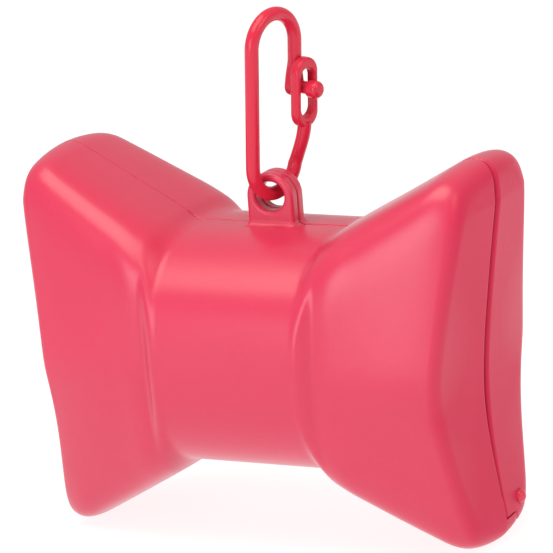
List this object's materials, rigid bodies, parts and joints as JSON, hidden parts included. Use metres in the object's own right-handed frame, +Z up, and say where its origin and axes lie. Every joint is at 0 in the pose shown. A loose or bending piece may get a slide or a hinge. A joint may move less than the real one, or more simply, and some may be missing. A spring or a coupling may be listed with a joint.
{
  "type": "bag dispenser",
  "caption": "Bow shaped two-part plastic case that holds a roll of small bags, opens on hinge pins at its lower corners and hangs from a snap clip ring.",
  "frame": {"origin": "top of the clip ring's opening, where the dispenser hangs from a leash or strap", "axes": "+X to the right along the hinge axis and the bag roll, +Y to the rear, +Z up against the pull of gravity"},
  "size_m": [0.0834, 0.0454, 0.0907],
  "materials": {
    "shell_plastic": "satin moulded plastic with a fine texture",
    "pin_plastic": "smooth gloss moulded plastic",
    "clip_plastic": "smooth gloss moulded plastic",
    "cardboard": "raw spiral-wound board",
    "bag_film": "thin matte film wound in layers"
  },
  "bodies": {
    "clip": {"clip_hook": "clip_plastic"},
    "clip_arm": {"clip_arm": "clip_plastic"},
    "front": {"front_shell": "shell_plastic", "hinge_pin_left": "pin_plastic", "hinge_pin_right": "pin_plastic"},
    "rear": {"rear_shell": "shell_plastic"},
    "roll": {"roll_core": "cardboard", "bag_roll": "bag_film"}
  },
  "joints": [
    {"name": "clip_arm_flex", "type": "hinge", "parent": "clip", "child": "clip_arm", "pos_m": [-0.0003, 0.00526, -0.02449], "axis": [0.2582, 0.9659, -0.0181], "range_deg": [0, 12], "stiffness_Nm_per_rad": 0.2},
    {"name": "dispenser_swing", "type": "hinge", "parent": "clip", "child": "front", "pos_m": [-0.00209, 0, -0.02983], "axis": [0, 1, 0], "range_deg": [-60, 60]},
    {"name": "rear_shell_open", "type": "hinge", "parent": "front", "child": "rear", "pos_m": [-0.00269, 0.0068, -0.08305], "axis": [-1, 0, 0], "range_deg": [0, 55]},
    {"name": "roll_spin", "type": "hinge", "parent": "front", "child": "roll", "pos_m": [-0.00269, 0, -0.05545], "axis": [1, 0, 0], "continuous": true}
  ]
}
